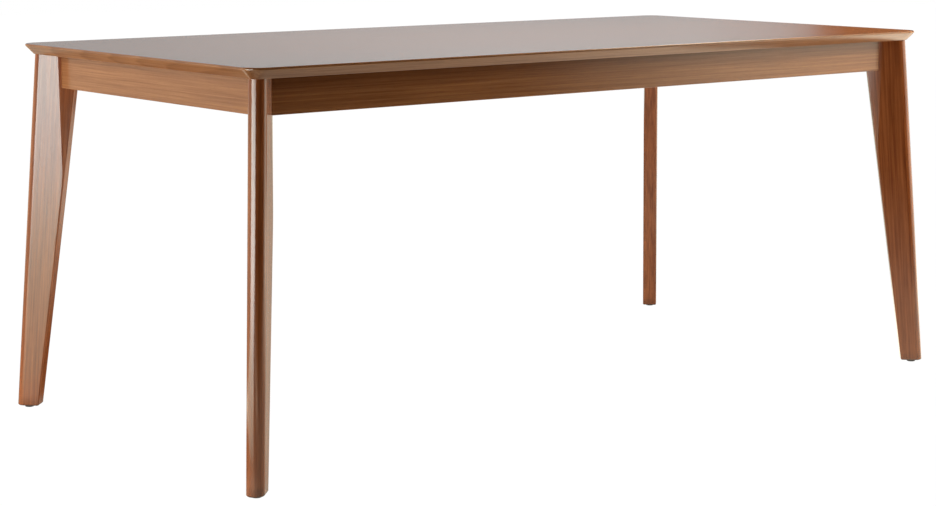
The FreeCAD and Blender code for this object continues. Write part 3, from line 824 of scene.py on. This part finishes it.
def clip_strap():
    """Strip carried along the path: each ring is a rectangle with cut corners, square to the path."""
    path = clip_path()
    heading = np.gradient(path, axis=0)
    heading /= np.linalg.norm(heading, axis=1, keepdims=True)
    square = np.stack([-heading[:, 1], heading[:, 0]], -1)
    wide = CLIP_WIDTH / 2
    thick = CLIP_STRAP / 2
    cut = 0.3
    ring = np.array([
        (-wide + cut, -thick), (wide - cut, -thick), (wide, -thick + cut), (wide, thick - cut),
        (wide - cut, thick), (-wide + cut, thick), (-wide, thick - cut), (-wide, -thick + cut),
    ])
    across = np.broadcast_to(ring[None, :, :1], (len(path), len(ring), 1))
    return np.concatenate([across, path[:, None] + square[:, None] * ring[None, :, 1:]], -1)


def along_aprons(tube):
    """Copies of a tube in an apron's frame: four on each long apron and one on each short one."""
    copies = []
    for turn, away, half, count in ((0, APRON_Y, APRON_X, 4), (90, APRON_X, APRON_Y, 1),
                                    (180, APRON_Y, APRON_X, 4), (270, APRON_X, APRON_Y, 1)):
        cos, sin = round(math.cos(math.radians(turn))), round(math.sin(math.radians(turn)))
        matrix = np.array([[cos, sin, 0], [-sin, cos, 0], [0, 0, 1]])
        for step in (np.arange(count) + 0.5) / count - 0.5:
            shift = np.array([2 * (half - BLOCK_END) * step, -away, 0])
            copies.append((tube + shift) @ matrix)
    return copies


make_piece("top_holding_clips", along_aprons(clip_strap()), clip_steel, ["top_clips"])
pan_head = [(3.7, -1.7), (3.2, -2.25), (2.2, -2.55), (0.0, -2.6)]
pan_thread = screw_thread(2.0, 1.6, CLIP_SCREW_LENGTH, 1.6)
clip_screw = recessed(pan_head, [(3.95, -1.1), (4.0, -0.6), (3.9, 0.0), (2.0, 0.0), *pan_thread], 1.5, 4.6)
hole_inwards = APRON_THICKNESS + CLIP_STANDOFF + CLIP_STRAP + CLIP_FLANGE / 2
clip_hole = np.array([0, hole_inwards, UNDERSIDE - CLIP_STRAP])
screws = along_aprons(clip_screw + clip_hole)
make_piece("clip_screws", screws, screw_steel, ["top_clip_screws"])

# %% [markdown]
# ## Studio
# The photograph is a studio picture on white. The floor and the world are white where the camera, a
# reflection or glass looks at them, and plain elsewhere, so the light on the table comes from the lamps.
# The faint shadow that the floor keeps is drowned in that white, as in the photograph. From below, the
# floor is clear, so that the underside of the table can be looked at.

# %% White floor and world
def seen_directly(start):
    """1 for rays from the camera, from a reflection or through glass, and 0 for diffuse light."""
    kinds = ("Camera", "Glossy", "Transmission")
    rays = [start.make("ShaderNodeLightPath", {}, {}, out=f"Is {kind} Ray") for kind in kinds]
    return start.math("MAXIMUM", start.math("MAXIMUM", rays[0], rays[1]), rays[2])


AMBIENT = 0.025
world = bpy.data.worlds.new("studio_world")
world.use_nodes = True
world.node_tree.nodes.clear()
bpy.context.scene.world = world
start = Tone(world.node_tree)
soft = start.make("ShaderNodeBackground", {}, {"Color": (1, 1, 1, 1), "Strength": AMBIENT})
white = start.make("ShaderNodeBackground", {}, {"Color": (1, 1, 1, 1), "Strength": 1.0})
sky = start.make("ShaderNodeMixShader", {}, {0: seen_directly(start), 1: soft, 2: white})
start.make("ShaderNodeOutputWorld", {}, {"Surface": sky})

FLOOR_SIZE = 30.0
FLOOR_GREY = (0.35, 0.35, 0.35, 1)
FLOOR_GLOW = 1.05
SHADOW_SHARE = 0.03
floor_white, start = new_finish("floor_white")
matt = start.make("ShaderNodeBsdfDiffuse", {}, {"Color": FLOOR_GREY})
glow = start.make("ShaderNodeEmission", {}, {"Color": (1, 1, 1, 1), "Strength": FLOOR_GLOW})
lit_share = seen_directly(start) * (1 - SHADOW_SHARE)
white = start.make("ShaderNodeMixShader", {}, {0: lit_share, 1: matt, 2: glow})
from_below = start.make("ShaderNodeNewGeometry", {}, {}, out="Backfacing")
clear = start.make("ShaderNodeBsdfTransparent", {}, {"Color": (1, 1, 1, 1)})
one_sided = start.make("ShaderNodeMixShader", {}, {0: from_below, 1: white, 2: clear})
start.make("ShaderNodeOutputMaterial", {}, {"Surface": one_sided})


def stage_sheet(name, points, material):
    """A sheet from a grid of points[row, column], with one finish."""
    rows, columns = points.shape[:2]
    here = np.arange(rows - 1)[:, None] * columns + np.arange(columns - 1)
    faces = np.stack([here, here + 1, here + columns + 1, here + columns], -1).reshape(-1, 4)
    mesh = bpy.data.meshes.new(name)
    mesh.from_pydata(points.reshape(-1, 3).tolist(), [], faces.tolist())
    mesh.materials.append(material)
    sheet = bpy.data.objects.new(name, mesh)
    bpy.context.scene.collection.objects.link(sheet)
    return sheet


edges = np.array([-FLOOR_SIZE / 2, FLOOR_SIZE / 2])
stage_sheet("studio_floor", np.stack([*np.meshgrid(edges, edges), np.zeros((2, 2))], -1), floor_white)
print("floor and world are white")

# %% [markdown]
# ## Cards and flags
# Satin lacquer shows what stands round it, so half of the picture's look is made by what the table
# mirrors. The sheets of this step are seen by reflections only. They stand on two rings about the table,
# and a turn is a direction in degrees: 0 is the right end, 90 the back, 180 the left end and 270 the
# front. Each sheet glows by an amount that is written on its points, in a tint, so one finish serves them
# all.

# %% Sheets that only reflections see
NEAR_RING = 3.2
FAR_RING = 8.0
CEILING = 5.0
card_glow, start = new_finish("card_glow")
level = start.make("ShaderNodeAttribute", {"attribute_name": "glow"}, {}, out="Color")
lit = start.make("ShaderNodeEmission", {}, {"Color": level, "Strength": 1.0})
start.make("ShaderNodeOutputMaterial", {}, {"Surface": lit})


def ease(value):
    """0 below 0, 1 above 1, and a smooth rise between them."""
    share = np.clip(value, 0, 1)
    return share * share * (3 - 2 * share)


def reflected_sheet(name, points, glow, tint=(1.0, 1.0, 1.0)):
    """A stage sheet that glows by glow[row, column] in a tint and is seen by reflections only."""
    sheet = stage_sheet(name, points, card_glow)
    amount = np.broadcast_to(np.asarray(glow, float), points.shape[:2])
    colours = np.append(amount[..., None] * tint, np.ones((*amount.shape, 1)), -1)
    glows = sheet.data.attributes.new("glow", "FLOAT_COLOR", "POINT")
    glows.data.foreach_set("color", colours.ravel())
    sheet.visible_camera = False
    sheet.visible_diffuse = False
    sheet.visible_shadow = False
    sheet.visible_transmission = False


def ring_points(distance, turns, heights):
    """Part of a cylinder about the table, for each turn and height: x = distance cos turn, y = distance sin
    turn."""
    turn, level = np.meshgrid(np.radians(turns), heights, indexing="ij")
    return np.stack([distance * np.cos(turn), distance * np.sin(turn), level], -1)


def card(name, distance, turns, heights, glow, tint=(1.0, 1.0, 1.0)):
    """A card on such a ring."""
    reflected_sheet(name, ring_points(distance, turns, heights), glow, tint)


print("rings of", NEAR_RING, "and", FAR_RING, "m")

# %% [markdown]
# A large softbox far off at the left, with the bright floor below it, gives the left leg its pale face
# and the near leg's nose its bright strip. Black flags keep the far sides and the camera's side dark.

# %% Left softbox and black flags
CARD_TOP = 3.4
LEFT_GLOW = 13.0
LEFT_HIGH_GLOW = 0.7
DAYLIGHT = (0.90, 1.0, 0.96)
left_turns = np.linspace(166, 218, 40)
left_fade = 1 - ease((left_turns - 207) / 11)
left_glow = left_fade[:, None] * np.array([LEFT_GLOW, LEFT_GLOW, LEFT_HIGH_GLOW, LEFT_HIGH_GLOW])
card("softbox_left", FAR_RING, left_turns, [0.0, 0.95, 1.2, CEILING], left_glow, DAYLIGHT)
card("flag_far", FAR_RING, np.linspace(218, 526, 120), [0.0, CEILING], 0.0)
card("flag_camera_side", NEAR_RING, np.linspace(232, 304, 30), [0.0, CARD_TOP], 0.0)
print("left softbox over", left_turns[-1] - left_turns[0], "degrees")

# %% [markdown]
# The right end of the top mirrors brown in the photograph, so a brown card stands there, and the upper
# part of the softbox at the right front blends into it. A small bright sheet draws the thread of light on
# the long upper arris. It hangs too high for the flat top to show it from the camera.

# %% Right softbox, brown card and the light of the arris
WARM_SIDE = (1.06, 1.0, 0.80)
BROWN_CARD = np.array([0.33, 0.125, 0.055])
RIGHT_GLOW = 2.2
DIM_END = 0.15
ARRIS_GLOW = 11.0
card("card_brown", NEAR_RING, np.linspace(2, 27.5, 12), [0.0, CARD_TOP], 1.0, BROWN_CARD)

right_turns = np.linspace(303, 362, 40)
right_levels = np.array([0.0, 0.85, 1.1, 1.75, 2.1, CARD_TOP])
right_rise = ease((right_turns[:, None] - 301) / 17)
right_end = DIM_END + 1.2 * (1 - ease((right_turns - 335) / 20))
right_high = DIM_END + RIGHT_GLOW * (1 - ease((right_turns - 346) / 14))
right_low = np.full(right_turns.shape, RIGHT_GLOW)
right_glow = np.stack([right_low, right_low, right_end, right_end, right_high, right_high], 1)
right_colour = (right_rise * right_glow)[..., None] * WARM_SIDE
brown_from = np.where(right_levels > 2.0, 348.0, 335.0)
turns_brown = ease((right_turns[:, None] - brown_from) / (right_turns[-1] - brown_from))
turns_brown = (turns_brown * (right_levels > 1.0))[..., None]
right_colour = right_colour * (1 - turns_brown) + BROWN_CARD * turns_brown
card("softbox_right", NEAR_RING, right_turns, right_levels, 1.0, right_colour)

arris_turns = np.linspace(336, 382, 24)
arris_fade = ease((arris_turns - 336) / 8) * (1 - ease((arris_turns - 374) / 8))
arris_glow = ARRIS_GLOW * arris_fade[:, None] * np.array([0.0, 1.0, 1.0, 0.0])
card("softbox_arris", NEAR_RING - 0.1, arris_turns, [2.9, 3.1, 4.1, 4.4], arris_glow, WARM_SIDE)
print("right softbox over", right_turns[-1] - right_turns[0], "degrees")

# %% [markdown]
# The camera sees the top at a low angle, so the top is mostly a mirror of what stands behind the table. A
# grey card there starts brown at the right and turns cooler and darker to the left. Its lower part shows
# in upright faces, and it is dimmer over a few degrees, where the photograph is. A black lid closes the
# rings.

# %% Card behind the table, and the lid
BACK_GLOW = 0.78
COOL_GREY = (0.93, 1.0, 1.02)
back_turns = np.linspace(27.5, 172, 120)
back_levels = np.array([0.0, 0.6, 0.85, 1.15, 1.7, CARD_TOP])
back_start = ease((back_turns - 27.5) / 4)
mirror_turns = [37.4, 45.0, 51.0, 63.0, 76.0, 172.0]
mirrored = np.interp(back_turns, mirror_turns, [0.58, 0.585, 0.575, 0.555, 0.49, 0.44])
raised = mirrored + 0.3 * back_start + 0.6 * ease((66 - back_turns) / 16) * back_start
low = BACK_GLOW * back_start * (1 + 0.25 * ease((back_turns - 55) / 25))
low = low * (1 - 0.75 * ease((back_turns - 37.5) / 2.5) * (1 - ease((back_turns - 46) / 5)))
back_tint = np.array([WARM_SIDE] * 2 + [COOL_GREY] * 4)
back_glow = np.stack([low, low, mirrored, mirrored, raised, raised], 1)
grey_turns = [27.0, 28.2, 28.9, 30.2, 32.4, 37.4]
turns_grey = np.interp(back_turns, grey_turns, [0.0, 0.06, 0.17, 0.64, 0.82, 1.0])
still_brown = (1 - turns_grey)[:, None, None] * (back_levels > 0.7)[:, None]
back_colour = back_glow[..., None] * back_tint * (1 - still_brown) + BROWN_CARD * still_brown
card("card_back", NEAR_RING, back_turns, back_levels, 1.0, back_colour)

lid_turns = np.linspace(0, 360, 60)
lid = np.stack([ring_points(r, lid_turns, [CEILING])[:, 0] for r in (0.0, FAR_RING)])
reflected_sheet("flag_above", lid, 0.0)
print("card behind from", round(back_glow.min(), 2), "to", round(back_glow.max(), 2))

# %% [markdown]
# A glowing sheet just above the floor, seen by reflections only, paints the floor's reflection. It isn't
# even:
# it is dim below the table and brighter to the right front. A bright sector runs off to the left, under the
# large softbox, and a strip runs off to the front left. Painted shade lies behind the left end, below the
# middle of that end and beside the left leg, and small bright patches paint highlights on the left feet.
# The grid is finer near the table, where the changes are small.

# %% Floor as reflections see it
WARM_FLOOR = (1.06, 1.0, 0.80)
SECTOR_TINT = np.array([0.92, 1.0, 1.0])
SECTOR_TINT_LOSS = np.array([0.05, 0.03, 0.25])
MIRROR_HALF = 9
MIRROR_HEIGHT = 0.002
LEFT_FOOT = (-0.93, 0.41)
LEG_SHADE = (-0.87, 0.41)
steps = np.linspace(-1, 1, 181)
side = MIRROR_HALF * np.sign(steps) * np.abs(steps) ** 1.5
x, y = np.meshgrid(side, side)


def spot(at_x, at_y, spread, squash=1.0):
    """A soft spot on the floor: e to the power of minus the distance squared over the spread."""
    return np.exp(-((x - at_x) ** 2 + squash * (y - at_y) ** 2) / spread)


under = (0.70 + 1.15 * ease((x + 0.1) / 1.4) * ease((0.35 - y) / 0.6)) * (1 - ease((-y - 1.0) / 2.4))
right_patch = 1.15 * ease((x - 1.05) / 0.8) * ease((0.6 - y) / 0.6) * (1 - ease((-y - 0.8) / 1.2))

away = np.clip(-x - 0.9, 0, 8)
bright = 1.9 + 9.0 * ease(away / 6.5) ** 0.55 + 1.0 * np.exp(-((away / 0.55) ** 2))
soft_edge = 0.15 + 0.05 * away
begin = 0.12 + 0.32 * ease((0.36 - y) / 0.5)
in_sector = ease((y - 0.49 * x + 0.1) / soft_edge) * ease((0.35 - 0.2 * x - y) / soft_edge)
in_sector = in_sector * ease((away - begin) / 0.18)

past_leg = 0.878 * (x - LEG_SHADE[0]) + 0.478 * (y - LEG_SHADE[1])
beside = 0.878 * (y - LEG_SHADE[1]) - 0.478 * (x - LEG_SHADE[0])
leg_shade = ease(past_leg / 0.1) * (1 - ease((past_leg - 1.3) / 0.6)) * np.exp(-((beside / 0.15) ** 2))
shaded = 0.55 * spot(-0.8, 1.15, 0.35) + 0.65 * spot(-0.97, -0.05, 0.06, 0.5) + 0.5 * leg_shade

ahead = np.clip(0.86 - x, 0, 6)
strip = ease((ahead - 1.7) / 0.8) * (1 - ease((ahead - 5.2) / 0.8))
strip = strip * np.exp(-((y + 0.4 + 0.643 * ahead) / (0.1 + 0.09 * ahead)) ** 2)

from_foot = -0.894 * (x - LEFT_FOOT[0]) - 0.448 * (y - LEFT_FOOT[1])
off_line = 0.448 * (x - LEFT_FOOT[0]) - 0.894 * (y - LEFT_FOOT[1])
left_foot = ease(from_foot / 0.04) * (1 - ease((from_foot - 0.2) / 0.3)) * np.exp(-((off_line / 0.08) ** 2))
feet = 2.1 * left_foot + 1.3 * spot(-1.1, -0.52, 0.03)

outside = np.clip(under + right_patch - shaded, 0, None) + 2.2 * strip + feet
floor_glow = outside * (1 - in_sector) + bright * in_sector
near_table = np.exp(-((away / 3.2) ** 2))[..., None]
sector_tint = SECTOR_TINT - SECTOR_TINT_LOSS * near_table
floor_tint = np.array(WARM_FLOOR) * (1 - in_sector[..., None]) + sector_tint * in_sector[..., None]
mirror_points = np.stack([x, y, np.full(x.shape, MIRROR_HEIGHT)], -1)
reflected_sheet("floor_mirrored", mirror_points, floor_glow, floor_tint)
print("floor glow from", round(floor_glow.min(), 2), "to", round(floor_glow.max(), 2))

# %% [markdown]
# ## Lamps
# The lamps light the wood itself, and reflections don't show them. Their strengths were set until their
# sum came near the brightness of each face in the photograph. Those at the feet and the three that shine
# upwards stand for light that the floor throws back.

# %% Lamps
def lamp(name, place, target, size, radiance):
    """A soft rectangular lamp. Its power is its radiance times pi times its area."""
    light = bpy.data.lights.new(name, "AREA")
    light.shape = "RECTANGLE"
    light.size, light.size_y = size
    light.energy = radiance * math.pi * size[0] * size[1]
    thing = bpy.data.objects.new(name, light)
    bpy.context.scene.collection.objects.link(thing)
    thing.location = place
    thing.rotation_euler = (Vector(target) - Vector(place)).to_track_quat("-Z", "Y").to_euler()
    thing.visible_camera = False
    thing.visible_glossy = False


lamp("lamp_left_far", (-7.5, 0.3, 1.8), (-0.5, 0.0, 0.6), (4.0, 3.2), 2.95)
lamp("lamp_left_low", (-3.0, -0.6, 0.6), (0.0, -0.1, 0.5), (2.4, 1.1), 1.05)
lamp("lamp_left_feet", (-1.45, -0.05, 0.05), (-0.9, -0.03, 0.05), (0.7, 0.12), 8.0)
lamp("lamp_right_feet", (0.45, -0.95, 0.05), (0.9, -0.43, 0.05), (0.3, 0.12), 6.2)
lamp("lamp_back_left", (-2.6, 2.0, 1.0), (0.0, 0.0, 0.5), (1.5, 1.5), 7.0)
lamp("lamp_right", (1.65, -1.25, 1.2), (0.6, -0.3, 0.7), (0.9, 0.9), 5.9)
lamp("lamp_right_low", (1.35, -0.85, 0.92), (0.88, -0.43, 0.6), (0.4, 0.6), 2.9)
lamp("lamp_right_far", (3.6, -0.8, 0.65), (0.0, -0.1, 0.5), (1.6, 1.1), 7.0)
lamp("lamp_front_high", (0.6, -2.6, 2.6), (0.0, -0.4, 0.7), (1.5, 0.6), 2.6)
lamp("lamp_inside", (0.15, 0.02, 0.30), (-0.87, -0.42, 0.33), (0.35, 0.6), 10.0)
lamp("lamp_above", (0.15, 0.0, 1.75), (0.15, 0.0, 0.0), (2.2, 0.6), 3.1)
lamp("bounce_under", (0.0, 0.0, 0.02), (0.0, 0.0, 1.0), (2.4, 1.2), 0.26)
lamp("bounce_right", (1.9, -0.6, 0.02), (1.9, -0.6, 1.0), (1.6, 1.8), 1.0)
lamp("bounce_front", (-0.2, -0.8, 0.02), (-0.2, -0.8, 1.0), (1.0, 0.5), 0.8)
bpy.context.scene.view_settings.view_transform = "Standard"

# %% [markdown]
